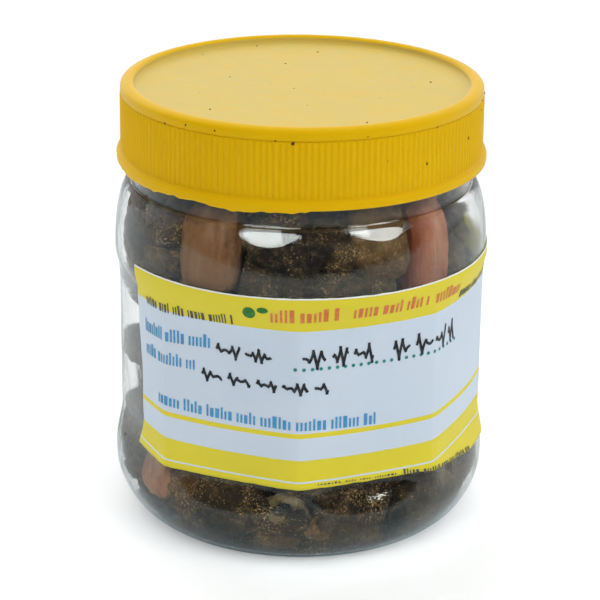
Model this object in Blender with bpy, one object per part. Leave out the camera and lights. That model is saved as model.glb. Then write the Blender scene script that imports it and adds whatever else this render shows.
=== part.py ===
# Clear jar of dried betel nut, shut with a ribbed yellow screw lid and wrapped in a paper label
import math
import random

import bmesh
import bpy
from mathutils import Matrix, Vector

for old in list(bpy.data.objects):
    bpy.data.objects.remove(old, do_unlink=True)

MM = 0.001

# Jar body
BASE_RING_INNER = 21.5 * MM
BASE_RING_OUTER = 25.6 * MM
BASE_PUSH_UP = 3.0 * MM
BUMPER_RADIUS = 35.0 * MM
BUMPER_HEIGHT = 13.9 * MM
BUMPER_TOP = 15.4 * MM
PANEL_RADIUS = 34.0 * MM
BUMPER_BLEND = 18.2 * MM
PANEL_BOTTOM = 21.0 * MM
PANEL_MIDDLE = 34.0 * MM
PANEL_TOP = 47.5 * MM
SHOULDER_BLEND = 50.0 * MM
SHOULDER_RADIUS = 34.4 * MM
SHOULDER_START = 51.9 * MM
SHOULDER_END = 64.8 * MM
NECK_RADIUS = 31.35 * MM
NECK_TOP = 79.9 * MM
NECK_WALL = 1.0 * MM
BODY_WALL = 0.8 * MM
FLAT_SIDES = 8
JAR_SEGMENTS = 48

# Lid
LID_CREST_RADIUS = 31.6 * MM
LID_CREST_HEIGHT = 83.1 * MM
LID_DISC_RADIUS = 30.2 * MM
LID_DISC_HEIGHT = 81.7 * MM
LID_SIDE_RADIUS = 33.0 * MM
LID_RIM_BOTTOM = 81.0 * MM
RIB_COUNT = 188
RIB_HEIGHT = 0.26 * MM
RIB_BASE_RADIUS = 32.85 * MM
RIB_TOP = 80.75 * MM
RIB_BOTTOM = 70.6 * MM
FLANGE_RADIUS = 33.85 * MM
FLANGE_TOP = 70.2 * MM
FLANGE_BOTTOM = 68.8 * MM
LID_BORE = 31.75 * MM
LID_ROOF = 80.3 * MM
FLASH_DEPTH = 0.75 * MM
LID_SEGMENTS = RIB_COUNT // 2

# Label
LABEL_GAP = 0.3 * MM
LABEL_THICKNESS = 0.25 * MM
LABEL_TOP = 53.0 * MM
LABEL_BOTTOM = 17.2 * MM
LABEL_LEFT = -60.6
LABEL_RIGHT = 127.5
LABEL_COLUMNS = 26

# Dried nuts
NUT_GAP = 0.35 * MM
HEEL_CLEARANCE = 1.6 * MM
THROAT_CLEARANCE = 0.9 * MM
CORE_RADIUS = 26.5 * MM
CORE_BOTTOM = 4.9 * MM
CORE_TOP = 64.5 * MM
CORE_SEGMENTS = 24
NUT_ROWS = 6
NUTS_PER_ROW = 10
NUT_SIDES = 7
NUT_BANDS = 4
NUT_LENGTH = 18.5 * MM
NUT_WIDTH = 14.0 * MM
NUT_THICKNESS = 11.0 * MM
FIRST_ROW = 9.5 * MM
ROW_PITCH = 10.4 * MM
TOP_NUTS = 7
SEED = 31
MERGE = 0.001 * MM


def material(name, colour, roughness, metallic=0.0, alpha=1.0):
    made = bpy.data.materials.new(name)
    made.use_nodes = True
    shader = made.node_tree.nodes["Principled BSDF"]
    shader.inputs["Base Color"].default_value = (*colour, 1.0)
    shader.inputs["Roughness"].default_value = roughness
    shader.inputs["Metallic"].default_value = metallic
    shader.inputs["Alpha"].default_value = alpha
    return made


def smooth(t):
    t = min(max(t, 0.0), 1.0)
    return t * t * (3.0 - 2.0 * t)


# Round profile of the body, bottom to top
def body_radius(z):
    if z < BUMPER_HEIGHT:
        rise = 1.0 - max(z, 0.0) / BUMPER_HEIGHT
        return BASE_RING_OUTER + (BUMPER_RADIUS - BASE_RING_OUTER) * math.sqrt(1.0 - rise * rise)
    if z < BUMPER_TOP:
        return BUMPER_RADIUS
    if z < PANEL_BOTTOM:
        return BUMPER_RADIUS + (PANEL_RADIUS - BUMPER_RADIUS) * smooth((z - BUMPER_TOP) / (PANEL_BOTTOM - BUMPER_TOP))
    if z < PANEL_TOP:
        return PANEL_RADIUS
    if z < SHOULDER_START:
        share = smooth((z - PANEL_TOP) / (SHOULDER_START - PANEL_TOP))
        return PANEL_RADIUS + (SHOULDER_RADIUS - PANEL_RADIUS) * share
    if z < SHOULDER_END:
        rise = (z - SHOULDER_START) / (SHOULDER_END - SHOULDER_START)
        return NECK_RADIUS + (SHOULDER_RADIUS - NECK_RADIUS) * math.sqrt(1.0 - rise * rise)
    return NECK_RADIUS


# How far the wall turns from round to eight soft flats
def flatness(z):
    lower = smooth((z - 9.0 * MM) / (7.0 * MM))
    upper = smooth((52.5 * MM - z) / (9.0 * MM))
    middle = 0.62 + 0.2 * smooth((24.0 * MM - z) / (7.0 * MM))
    return lower * upper * middle


def wall_radius(z, angle):
    side = 2.0 * math.pi / FLAT_SIDES
    off = (angle + math.pi / 2.0) % side - side / 2.0
    drop = 1.0 - math.cos(side / 2.0) / math.cos(off)
    return body_radius(z) * (1.0 - flatness(z) * drop)


def inner_radius(z, angle):
    wall = NECK_WALL if z > SHOULDER_END else BODY_WALL
    return wall_radius(z, angle) - wall


def ring(radius, height, count, offset=0.0):
    points = []
    for i in range(count):
        angle = 2.0 * math.pi * i / count + offset
        r = radius(angle) if callable(radius) else radius
        z = height(angle) if callable(height) else height
        points.append(Vector((r * math.cos(angle), r * math.sin(angle), z)))
    return points


# Joins rings of points into one closed skin with a pole at either end
def turned(name, first_pole, rings, last_pole):
    mesh = bmesh.new()
    rows = []
    for points in rings:
        rows.append([mesh.verts.new(p) for p in points])
    for lower, upper in zip(rows, rows[1:]):
        few, many = (lower, upper) if len(lower) <= len(upper) else (upper, lower)
        step = len(many) // len(few)
        for i in range(len(few)):
            edge = [many[(i * step + k) % len(many)] for k in range(step + 1)]
            mesh.faces.new([few[(i + 1) % len(few)], few[i]] + edge)
    for pole, row in ((first_pole, rows[0]), (last_pole, rows[-1])):
        centre = mesh.verts.new(pole)
        for i in range(len(row)):
            mesh.faces.new([centre, row[i], row[(i + 1) % len(row)]])
    bmesh.ops.recalc_face_normals(mesh, faces=mesh.faces)
    data = bpy.data.meshes.new(name)
    mesh.to_mesh(data)
    mesh.free()
    for face in data.polygons:
        face.use_smooth = True
    made = bpy.data.objects.new(name, data)
    bpy.context.scene.collection.objects.link(made)
    return made


# Jar: outside from the middle of the base up to the mouth, then down the inside
def build_jar():
    rings = [
        ring(BASE_RING_INNER * 0.86, BASE_PUSH_UP * 0.3, JAR_SEGMENTS),
        ring(BASE_RING_INNER, 0.0, JAR_SEGMENTS),
        ring(BASE_RING_OUTER, 0.0, JAR_SEGMENTS),
    ]
    heights = []
    for i in range(1, 7):
        turn = math.pi / 2.0 * i / 6.0
        heights.append(BUMPER_HEIGHT * (1.0 - math.cos(turn)))
    heights.extend([BUMPER_TOP, BUMPER_BLEND, PANEL_BOTTOM, PANEL_MIDDLE, PANEL_TOP, SHOULDER_BLEND])
    for i in range(0, 6):
        turn = math.pi / 2.0 * i / 5.0
        heights.append(SHOULDER_START + (SHOULDER_END - SHOULDER_START) * math.sin(turn))
    heights.append(NECK_TOP)
    for z in heights:
        rings.append(ring(lambda a, z=z: wall_radius(z, a), z, JAR_SEGMENTS))
    inside = [NECK_TOP, SHOULDER_END, 63.9 * MM, 62.0 * MM, 58.5 * MM, SHOULDER_START, PANEL_TOP, PANEL_MIDDLE, PANEL_BOTTOM]
    inside.extend([BUMPER_HEIGHT, 10.8 * MM, 8.0 * MM, 4.0 * MM, 2.0 * MM])
    for z in inside:
        rings.append(ring(lambda a, z=z: inner_radius(z, a), z, JAR_SEGMENTS))
    rings.append(ring(BASE_RING_OUTER - BODY_WALL, BODY_WALL, JAR_SEGMENTS))
    rings.append(ring(BASE_RING_INNER * 0.86, BASE_PUSH_UP * 0.3 + BODY_WALL, JAR_SEGMENTS))
    bottom = Vector((0.0, 0.0, BASE_PUSH_UP))
    floor = Vector((0.0, 0.0, BASE_PUSH_UP + BODY_WALL))
    return turned("jar", bottom, rings, floor)


# Thin ragged fringe left below the lid's flange, longest at the front left
def flash(angle):
    front = (math.degrees(angle) + 90.0 + 180.0) % 360.0 - 180.0
    reach = smooth((front + 97.0) / 12.0) * smooth((3.0 - front) / 2.0)
    wave = 0.62 + 0.25 * math.sin(angle * 9.0) + 0.13 * math.sin(angle * 23.0 + 1.3)
    notch = 1.0 - 0.85 * math.exp(-((front + 33.0) / 3.5) ** 2)
    return FLASH_DEPTH * reach * wave * notch


# Lid: from the middle of the sunk top over the rim, down the ribs and up the inside
def build_lid():
    plain = LID_SEGMENTS
    fine = RIB_COUNT * 2
    rings = [
        ring(LID_DISC_RADIUS, LID_DISC_HEIGHT, plain),
        ring(LID_DISC_RADIUS + 0.65 * MM, LID_DISC_HEIGHT + 0.55 * MM, plain),
        ring(LID_CREST_RADIUS - 0.35 * MM, LID_CREST_HEIGHT - 0.12 * MM, plain),
        ring(LID_CREST_RADIUS, LID_CREST_HEIGHT, plain),
        ring(LID_CREST_RADIUS + 0.85 * MM, LID_CREST_HEIGHT - 0.3 * MM, plain),
        ring(LID_SIDE_RADIUS, LID_CREST_HEIGHT - 1.1 * MM, plain),
        ring(LID_SIDE_RADIUS, LID_RIM_BOTTOM, plain),
    ]
    for z in (RIB_TOP, RIB_BOTTOM):
        points = ring(RIB_BASE_RADIUS, z, fine)
        for i in range(0, fine, 2):
            scale = (RIB_BASE_RADIUS + RIB_HEIGHT) / RIB_BASE_RADIUS
            points[i] = Vector((points[i].x * scale, points[i].y * scale, z))
        rings.append(points)
    rings.append(ring(FLANGE_RADIUS - 0.25 * MM, FLANGE_TOP, plain))
    rings.append(ring(FLANGE_RADIUS, FLANGE_TOP - 0.3 * MM, plain))
    rings.append(ring(FLANGE_RADIUS, FLANGE_BOTTOM + 0.15 * MM, plain))
    rings.append(ring(FLANGE_RADIUS - 0.1 * MM, lambda a: FLANGE_BOTTOM - flash(a), plain))
    rings.append(ring(FLANGE_RADIUS - 0.45 * MM, lambda a: FLANGE_BOTTOM - 0.8 * flash(a), plain))
    rings.append(ring(FLANGE_RADIUS - 0.8 * MM, FLANGE_BOTTOM, plain))
    rings.append(ring(LID_BORE, FLANGE_BOTTOM, plain // 2))
    rings.append(ring(LID_BORE, LID_ROOF, plain // 2))
    top = Vector((0.0, 0.0, LID_DISC_HEIGHT + 0.05 * MM))
    roof = Vector((0.0, 0.0, LID_ROOF))
    return turned("lid", top, rings, roof)


# Left edge of the label leans out towards its lower corner and a little above the middle
def label_left(z):
    foot = 4.4 * smooth((23.0 * MM - z) / (6.0 * MM))
    belly = 2.8 * smooth((z - 30.0 * MM) / (14.0 * MM))
    top = 3.1 * smooth((z - 44.5 * MM) / (6.0 * MM))
    return LABEL_LEFT - foot - belly + top


# Lower edge of the label drops a little towards the right
def label_floor(degrees):
    return LABEL_BOTTOM - 0.045 * MM * max(degrees - 20.0, 0.0) * smooth((150.0 - degrees) / 60.0)


# Columns share the jar's segments, so the paper follows the same flats
def build_label():
    mesh = bmesh.new()
    step = 360.0 / JAR_SEGMENTS
    heights = [LABEL_BOTTOM, BUMPER_BLEND, PANEL_BOTTOM, PANEL_MIDDLE, PANEL_TOP, SHOULDER_BLEND, LABEL_TOP]
    faces_in = []
    faces_out = []
    for level in heights:
        row_in = []
        row_out = []
        for i in range(LABEL_COLUMNS + 1):
            degrees = LABEL_RIGHT - step * (LABEL_COLUMNS - i)
            if i == 0:
                degrees = label_left(level)
            z = label_floor(degrees) if level == LABEL_BOTTOM else level
            angle = math.radians(degrees - 90.0)
            wall = wall_radius(z, angle) + LABEL_GAP
            for reach, row in ((wall, row_in), (wall + LABEL_THICKNESS, row_out)):
                row.append(mesh.verts.new((reach * math.cos(angle), reach * math.sin(angle), z)))
        faces_in.append(row_in)
        faces_out.append(row_out)
    rows_up = len(heights) - 1
    for j in range(rows_up):
        for i in range(LABEL_COLUMNS):
            for rows in (faces_in, faces_out):
                mesh.faces.new([rows[j][i], rows[j][i + 1], rows[j + 1][i + 1], rows[j + 1][i]])
    for j in (0, rows_up):
        for i in range(LABEL_COLUMNS):
            mesh.faces.new([faces_in[j][i], faces_in[j][i + 1], faces_out[j][i + 1], faces_out[j][i]])
    for i in (0, LABEL_COLUMNS):
        for j in range(rows_up):
            mesh.faces.new([faces_in[j][i], faces_in[j + 1][i], faces_out[j + 1][i], faces_out[j][i]])
    bmesh.ops.recalc_face_normals(mesh, faces=mesh.faces)
    data = bpy.data.meshes.new("label")
    mesh.to_mesh(data)
    mesh.free()
    for face in data.polygons:
        face.use_smooth = True
    made = bpy.data.objects.new("label", data)
    bpy.context.scene.collection.objects.link(made)
    return made


# Whether a point clears the jar's inner wall and its pushed-up floor
def clear_of_jar(point, gap):
    angle = math.atan2(point.y, point.x)
    reach = math.hypot(point.x, point.y)
    heel = HEEL_CLEARANCE * max(1.0 - point.z / BUMPER_HEIGHT, 0.0)
    throat = THROAT_CLEARANCE * smooth((point.z - 58.0 * MM) / (4.0 * MM))
    if reach > inner_radius(point.z - heel, angle) - gap - throat:
        return False
    hump = BASE_PUSH_UP * smooth((BASE_RING_INNER + 2.0 * MM - reach) / (12.0 * MM))
    return point.z > BODY_WALL + gap + hump


# Draws a point back towards the nut's middle until it is inside the jar
def drawn_in(point, centre, gap):
    if clear_of_jar(point, gap):
        return point
    near = 0.0
    far = 1.0
    for _ in range(14):
        half = (near + far) / 2.0
        if clear_of_jar(centre.lerp(point, half), gap):
            near = half
        else:
            far = half
    return centre.lerp(point, near)


# One uneven few-sided nut, pressed against the wall where it meets it
def nut(store, place, turn, size, gap, chance):
    mesh = bmesh.new()
    bmesh.ops.create_uvsphere(mesh, u_segments=NUT_SIDES, v_segments=NUT_BANDS, radius=1.0)
    ridge = chance.uniform(0.0, 6.28)
    for vert in mesh.verts:
        vert.co = Vector((vert.co.z, vert.co.y, vert.co.x))
        around = math.atan2(vert.co.z, vert.co.y)
        lump = 1.12 + 0.12 * math.sin(3.0 * around + ridge) + chance.uniform(-0.09, 0.09)
        shaped = Vector((vert.co.x * size[0] / 2.0, vert.co.y * size[1] / 2.0, vert.co.z * size[2] / 2.0))
        shaped.y *= lump
        shaped.z *= lump
        shaped = turn @ shaped + place
        vert.co = drawn_in(shaped, place, gap)
    bmesh.ops.recalc_face_normals(mesh, faces=mesh.faces)
    data = bpy.data.meshes.new("nut")
    mesh.to_mesh(data)
    mesh.free()
    made = bpy.data.objects.new("nut", data)
    store.objects.link(made)
    return made


# Fills the gaps that the fused nuts close off: only the outer skin stays
def keep_outer_skin(data):
    mesh = bmesh.new()
    mesh.from_mesh(data)
    mesh.faces.ensure_lookup_table()
    seen = set()
    skins = []
    for start in mesh.faces:
        if start in seen:
            continue
        seen.add(start)
        skin = [start]
        for face in skin:
            for edge in face.edges:
                for beside in edge.link_faces:
                    if beside not in seen:
                        seen.add(beside)
                        skin.append(beside)
        skins.append(skin)
    skins.sort(key=len)
    spare = [face for skin in skins[:-1] for face in skin]
    bmesh.ops.delete(mesh, geom=spare, context="FACES")
    bmesh.ops.remove_doubles(mesh, verts=mesh.verts, dist=MERGE)
    bmesh.ops.dissolve_degenerate(mesh, edges=mesh.edges, dist=MERGE)
    mesh.to_mesh(data)
    mesh.free()


# Heap of nuts: a plain core with whole nuts standing out of it all round
def build_nuts():
    chance = random.Random(SEED)
    store = bpy.data.collections.new("pieces")
    bpy.context.scene.collection.children.link(store)
    core_rings = [
        ring(CORE_RADIUS * 0.72, CORE_BOTTOM, CORE_SEGMENTS),
        ring(CORE_RADIUS, CORE_BOTTOM + 5.0 * MM, CORE_SEGMENTS),
        ring(CORE_RADIUS, CORE_TOP - 4.0 * MM, CORE_SEGMENTS),
        ring(CORE_RADIUS * 0.8, CORE_TOP, CORE_SEGMENTS),
    ]
    core = turned("nuts", Vector((0, 0, CORE_BOTTOM)), core_rings, Vector((0, 0, CORE_TOP + 1.0 * MM)))
    for row in range(NUT_ROWS):
        for place in range(NUTS_PER_ROW):
            angle = 2.0 * math.pi * (place + 0.5 * (row % 2) + chance.uniform(-0.2, 0.2)) / NUTS_PER_ROW
            z = FIRST_ROW + row * ROW_PITCH + chance.uniform(-1.6, 1.6) * MM
            size = (
                NUT_LENGTH * chance.uniform(0.85, 1.15),
                NUT_WIDTH * chance.uniform(0.85, 1.15),
                NUT_THICKNESS * chance.uniform(0.85, 1.15),
            )
            gap = NUT_GAP + chance.uniform(0.0, 0.9) * MM
            reach = inner_radius(z, angle) - gap - size[2] * 0.40
            centre = Vector((reach * math.cos(angle), reach * math.sin(angle), z))
            tilt = chance.uniform(-1.3, 1.3)
            roll = chance.uniform(-0.3, 0.3)
            turn = Matrix.Rotation(angle + math.pi / 2.0, 3, "Z") @ Matrix.Rotation(math.pi / 2.0 + roll, 3, "X")
            turn = turn @ Matrix.Rotation(tilt, 3, "Z")
            nut(store, centre, turn, size, gap, chance)
    for place in range(TOP_NUTS):
        angle = 2.0 * math.pi * place / TOP_NUTS + chance.uniform(-0.2, 0.2)
        reach = 15.5 * MM if place else 2.0 * MM
        centre = Vector((reach * math.cos(angle), reach * math.sin(angle), CORE_TOP + 0.8 * MM))
        size = (NUT_LENGTH, NUT_WIDTH, NUT_THICKNESS)
        turn = Matrix.Rotation(chance.uniform(0.0, 6.28), 3, "Z") @ Matrix.Rotation(chance.uniform(-0.3, 0.3), 3, "Y")
        nut(store, centre, turn, size, NUT_GAP, chance)
    union = core.modifiers.new("fuse", "BOOLEAN")
    union.operation = "UNION"
    union.operand_type = "COLLECTION"
    union.collection = store
    union.solver = "EXACT"
    bpy.context.view_layer.update()
    fused = bpy.data.meshes.new_from_object(core.evaluated_get(bpy.context.evaluated_depsgraph_get()))
    core.modifiers.clear()
    core.data = fused
    keep_outer_skin(fused)
    for piece in list(store.objects):
        bpy.data.objects.remove(piece, do_unlink=True)
    bpy.data.collections.remove(store)
    return core


jar = build_jar()
lid = build_lid()
label = build_label()
nuts = build_nuts()

jar.data.materials.append(material("clear_plastic", (0.86, 0.91, 0.92), 0.08, alpha=0.35))
lid.data.materials.append(material("yellow_plastic", (0.74, 0.44, 0.02), 0.42))
label.data.materials.append(material("label_paper", (0.72, 0.72, 0.45), 0.6))
nuts.data.materials.clear()
nuts.data.materials.append(material("dried_nut", (0.045, 0.032, 0.024), 0.75))
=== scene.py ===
import math
import random

import bpy
import numpy as np
from mathutils import Matrix, Vector, noise


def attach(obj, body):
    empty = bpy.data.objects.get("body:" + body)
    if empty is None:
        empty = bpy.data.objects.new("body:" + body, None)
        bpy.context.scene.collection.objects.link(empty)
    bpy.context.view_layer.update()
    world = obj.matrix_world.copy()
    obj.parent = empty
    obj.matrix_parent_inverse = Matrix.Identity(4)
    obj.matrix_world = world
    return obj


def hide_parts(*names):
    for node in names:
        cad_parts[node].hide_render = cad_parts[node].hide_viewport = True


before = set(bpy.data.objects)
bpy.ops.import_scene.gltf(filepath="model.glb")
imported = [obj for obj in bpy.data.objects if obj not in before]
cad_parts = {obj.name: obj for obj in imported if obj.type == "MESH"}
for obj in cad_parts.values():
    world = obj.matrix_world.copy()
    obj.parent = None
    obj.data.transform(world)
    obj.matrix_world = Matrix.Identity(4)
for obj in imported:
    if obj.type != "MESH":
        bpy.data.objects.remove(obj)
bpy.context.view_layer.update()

MM = 0.001
FULL_TURN = 2.0 * math.pi
QUARTER = math.pi / 2.0
BLACK, WHITE = (0.0, 0.0, 0.0), (1.0, 1.0, 1.0)


def grey(value):
    return (value, value, value)


# Short calls for shader nodes
class Tree:
    """The nodes of one material, or of the world."""
    def __init__(self, name, owner=None):
        self.owner = owner or bpy.data.materials.new(name)
        self.owner.use_nodes = True
        self.tree = self.owner.node_tree
        self.tree.nodes.clear()

    def feed(self, socket, value):
        """Links a socket to an input, or sets the input's own value."""
        if isinstance(value, bpy.types.NodeSocket):
            self.tree.links.new(value, socket)
        elif socket.type == "RGBA":
            socket.default_value = (*value, 1.0)
        else:
            socket.default_value = value

    def add(self, kind, **values):
        """A node; names with a capital are its inputs, the others its settings."""
        node = self.tree.nodes.new(kind)
        for key, value in values.items():
            if key[0].isupper():
                self.feed(node.inputs[key.replace("_", " ")], value)
            else:
                setattr(node, key, value)
        return node

    def math(self, operation, a, b, clamp=False):
        node = self.add("ShaderNodeMath", operation=operation, use_clamp=clamp)
        self.feed(node.inputs[0], a)
        self.feed(node.inputs[1], b)
        return node.outputs[0]

    def times(self, a, b, clamp=False):
        return self.math("MULTIPLY", a, b, clamp)

    def plus(self, a, b, clamp=False):
        return self.math("ADD", a, b, clamp)

    def minus(self, a, b, clamp=False):
        return self.math("SUBTRACT", a, b, clamp)

    def mix(self, factor, a, b):
        """Two colours mixed."""
        node = self.add("ShaderNodeMix", data_type="RGBA")
        for place, value in ((0, factor), (6, a), (7, b)):
            self.feed(node.inputs[place], value)
        return node.outputs[2]

    def blend(self, factor, a, b):
        """Two shaders mixed."""
        node = self.add("ShaderNodeMixShader")
        for socket, value in zip(node.inputs, (factor, a, b)):
            self.feed(socket, value)
        return node.outputs[0]

    def ramp(self, value, start, end, low=BLACK, high=WHITE, ease=False):
        """The colour low up to start, high from end on."""
        node = self.add("ShaderNodeValToRGB")
        self.feed(node.inputs[0], value)
        node.color_ramp.interpolation = "EASE" if ease else "LINEAR"
        for element, place, colour in zip(node.color_ramp.elements, (start, end), (low, high)):
            element.position = place
            element.color = (*colour, 1.0)
        return node.outputs[0]

    def spot(self):
        """Object coordinates in metres."""
        return self.add("ShaderNodeTexCoord").outputs["Object"]

    def axes(self, vector):
        return self.add("ShaderNodeSeparateXYZ", Vector=vector).outputs

    def place(self, stretch=(1, 1, 1)):
        """Object coordinates for a pattern, stretched along the axes."""
        return self.add("ShaderNodeMapping", Vector=self.spot(), Scale=stretch).outputs[0]

    def noise(self, vector, scale, detail=3.0, roughness=0.55, distortion=0.0):
        values = {"Scale": scale, "Detail": detail, "Roughness": roughness, "Distortion": distortion}
        return self.add("ShaderNodeTexNoise", Vector=vector, **values).outputs[0]

    def voronoi(self, vector, scale, feature="F1"):
        node = self.add("ShaderNodeTexVoronoi", feature=feature, Vector=vector, Scale=scale)
        return node.outputs["Distance"]

    def bump(self, height, strength, distance, **values):
        node = self.add("ShaderNodeBump", Height=height, Strength=strength, Distance=distance, **values)
        return node.outputs[0]

    def principled(self, colour, roughness, **values):
        node = self.add("ShaderNodeBsdfPrincipled", Base_Color=colour, Roughness=roughness, **values)
        return node.outputs[0]

    def finish(self, shader, output="ShaderNodeOutputMaterial"):
        self.add(output, Surface=shader)
        return self.owner


def smooth(t):
    t = min(max(t, 0.0), 1.0)
    return t * t * (3.0 - 2.0 * t)


def spot(radius, angle, z):
    """A point at a radius and an angle round the jar's axis."""
    return Vector((radius * math.cos(angle), radius * math.sin(angle), z))


# The jar's form, as in the solids
BASE_RING_OUTER = 25.6 * MM
BUMPER_RADIUS = 35.0 * MM
BUMPER_HEIGHT = 13.2 * MM
PANEL_RADIUS = 34.0 * MM
PANEL_BOTTOM = 20.5 * MM
PANEL_TOP = 47.5 * MM
SHOULDER_RADIUS = 34.4 * MM
SHOULDER_START = 51.9 * MM
SHOULDER_END = 64.8 * MM
NECK_RADIUS = 31.35 * MM
NECK_TOP = 79.9 * MM

# Where the eight soft flats start and end, over what height they fade, and how flat they are
FLATS_BOTTOM, FLATS_BOTTOM_FADE = 9.0 * MM, 7.0 * MM
FLATS_TOP, FLATS_TOP_FADE = 52.5 * MM, 9.0 * MM
FLATS_LOW_TOP, FLATS_LOW_FADE = 24.0 * MM, 7.0 * MM
FLATNESS, FLATNESS_LOW_MORE = 0.62, 0.2
FLATS = 8


def body_radius(z):
    if z < BUMPER_HEIGHT:
        rise = 1.0 - max(z, 0.0) / BUMPER_HEIGHT
        return BASE_RING_OUTER + (BUMPER_RADIUS - BASE_RING_OUTER) * math.sqrt(1.0 - rise * rise)
    if z < PANEL_BOTTOM:
        share = smooth((z - BUMPER_HEIGHT) / (PANEL_BOTTOM - BUMPER_HEIGHT))
        return BUMPER_RADIUS + (PANEL_RADIUS - BUMPER_RADIUS) * share
    if z < PANEL_TOP:
        return PANEL_RADIUS
    if z < SHOULDER_START:
        share = smooth((z - PANEL_TOP) / (SHOULDER_START - PANEL_TOP))
        return PANEL_RADIUS + (SHOULDER_RADIUS - PANEL_RADIUS) * share
    if z < SHOULDER_END:
        rise = (z - SHOULDER_START) / (SHOULDER_END - SHOULDER_START)
        return NECK_RADIUS + (SHOULDER_RADIUS - NECK_RADIUS) * math.sqrt(1.0 - rise * rise)
    return NECK_RADIUS


def flatness(z):
    lower = smooth((z - FLATS_BOTTOM) / FLATS_BOTTOM_FADE)
    upper = smooth((FLATS_TOP - z) / FLATS_TOP_FADE)
    return lower * upper * (FLATNESS + FLATNESS_LOW_MORE * smooth((FLATS_LOW_TOP - z) / FLATS_LOW_FADE))


def wall_radius(z, angle):
    side = FULL_TURN / FLATS
    off = (angle + QUARTER) % side - side / 2.0
    drop = 1.0 - math.cos(side / 2.0) / math.cos(off)
    return body_radius(z) * (1.0 - flatness(z) * drop)


def soft_wall(z, angle, spread=0.07):
    """The wall with its corners rounded off: the mean over a short stretch of the angle."""
    total = 0.0
    for k in (-1.0, -0.5, 0.0, 0.5, 1.0):
        total += wall_radius(z, angle + k * spread)
    return total / 5.0


def front_angle(degrees):
    """The angle round the axis for degrees counted from the front."""
    return math.radians(degrees - 90.0)


def new_object(name, data):
    made = bpy.data.objects.new(name, data)
    bpy.context.scene.collection.objects.link(made)
    return made


def make_object(name, verts, faces, material=None, smooth_faces=True):
    data = bpy.data.meshes.new(name)
    data.from_pydata([tuple(v) for v in verts], [], faces)
    data.update()
    if smooth_faces:
        data.polygons.foreach_set("use_smooth", [True] * len(data.polygons))
    if material:
        data.materials.append(material)
    return new_object(name, data)


class Gathered:
    """Many pieces in one mesh."""
    def __init__(self):
        self.verts, self.faces = [], []

    def build(self, name, material, smooth_faces=True):
        return make_object(name, self.verts, self.faces, material, smooth_faces)


def ring(count, point_at):
    return [point_at(FULL_TURN * i / count) for i in range(count)]


def grid_faces(rows, count, flip=False, closed=False):
    """The faces between round rows of equal count; when closed, the last row also meets the first."""
    faces = []
    for j in range(rows if closed else rows - 1):
        a, b = j * count, (j + 1) % rows * count
        for i in range(count):
            k = (i + 1) % count
            faces.append((a + i, b + i, b + k, a + k) if flip else (a + i, a + k, b + k, b + i))
    return faces


def turned(name, rings, material, first_pole, last_pole):
    """Joins rings of equal count into one skin, closed by a pole at each end."""
    count = len(rings[0])
    verts = [p for one in rings for p in one] + [first_pole, last_pole]
    faces = grid_faces(len(rings), count)
    first, last, a = len(verts) - 2, len(verts) - 1, (len(rings) - 1) * count
    faces += [(first, (i + 1) % count, i) for i in range(count)]
    faces += [(last, a + i, a + (i + 1) % count) for i in range(count)]
    return make_object(name, verts, faces, material)


# Clear plastic jar
JAR_COUNT = 192
WALL = 0.6 * MM
BASE_PUSH_UP = 3.0 * MM
HEEL_STEPS, WAIST_STEPS, TOP_STEPS, SHOULDER_STEPS = 16, 10, 5, 16
PANEL_HEIGHTS = (24.0, 28.0, 32.0, 36.0, 40.0, 43.0, 45.0, 46.5)
NECK_HEIGHTS = (65.2, 66.5, 70.0, 75.0)
# The base: radius in millimetres and share of the push-up, outside from the middle and inside towards it
BASE_UNDER = (
    (3.0, 1.0), (8.0, 0.97), (12.0, 0.88), (15.5, 0.66),
    (18.5, 0.33), (20.4, 0.09), (21.6, 0.0), (25.0, 0.0),
)
BASE_FLOOR = (
    (25.4, 0.22), (21.8, 0.2), (20.4, 0.29), (18.5, 0.53),
    (15.5, 0.86), (12.0, 1.08), (8.0, 1.17), (3.0, 1.2),
)
BASE_FLOOR_MIDDLE = 1.2
LOWEST_INSIDE = 1.2 * MM


def clear_plastic():
    t = Tree("clear_plastic")
    at = t.place()
    ripple = t.noise(at, 120.0, 2.0, 0.5)
    grain = t.noise(at, 2600.0, 2.0, 0.6)
    normal = t.bump(t.plus(ripple, t.times(grain, 0.09)), 0.16, 0.0006)
    plastic = t.principled((0.985, 0.995, 0.995), 0.015, Normal=normal, Transmission_Weight=1.0, IOR=1.37)
    # shadow rays pass straight through, so that the contents aren't in the dark
    clear = t.add("ShaderNodeBsdfTransparent", Color=(0.93, 0.945, 0.945)).outputs[0]
    path = t.add("ShaderNodeLightPath").outputs
    through = t.blend(path["Is Shadow Ray"], plastic, clear)
    # fine dust that clings to the plastic
    patchy = t.noise(at, 90.0, 3.0, 0.6)
    limit = t.times(t.minus(patchy, 0.42), 0.7)
    speck = t.times(t.math("LESS_THAN", t.voronoi(at, 900.0), limit), 0.16)
    flour = t.add("ShaderNodeBsdfDiffuse", Color=(0.50, 0.40, 0.24)).outputs[0]
    return t.finish(t.blend(speck, through, flour))


def jar_ring(z, inset=0.0):
    return ring(JAR_COUNT, lambda angle: spot(soft_wall(z, angle) - inset, angle, z))


def base_rings(profile):
    for radius, rise in profile:
        yield ring(JAR_COUNT, lambda angle: spot(radius * MM, angle, BASE_PUSH_UP * rise))


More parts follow.
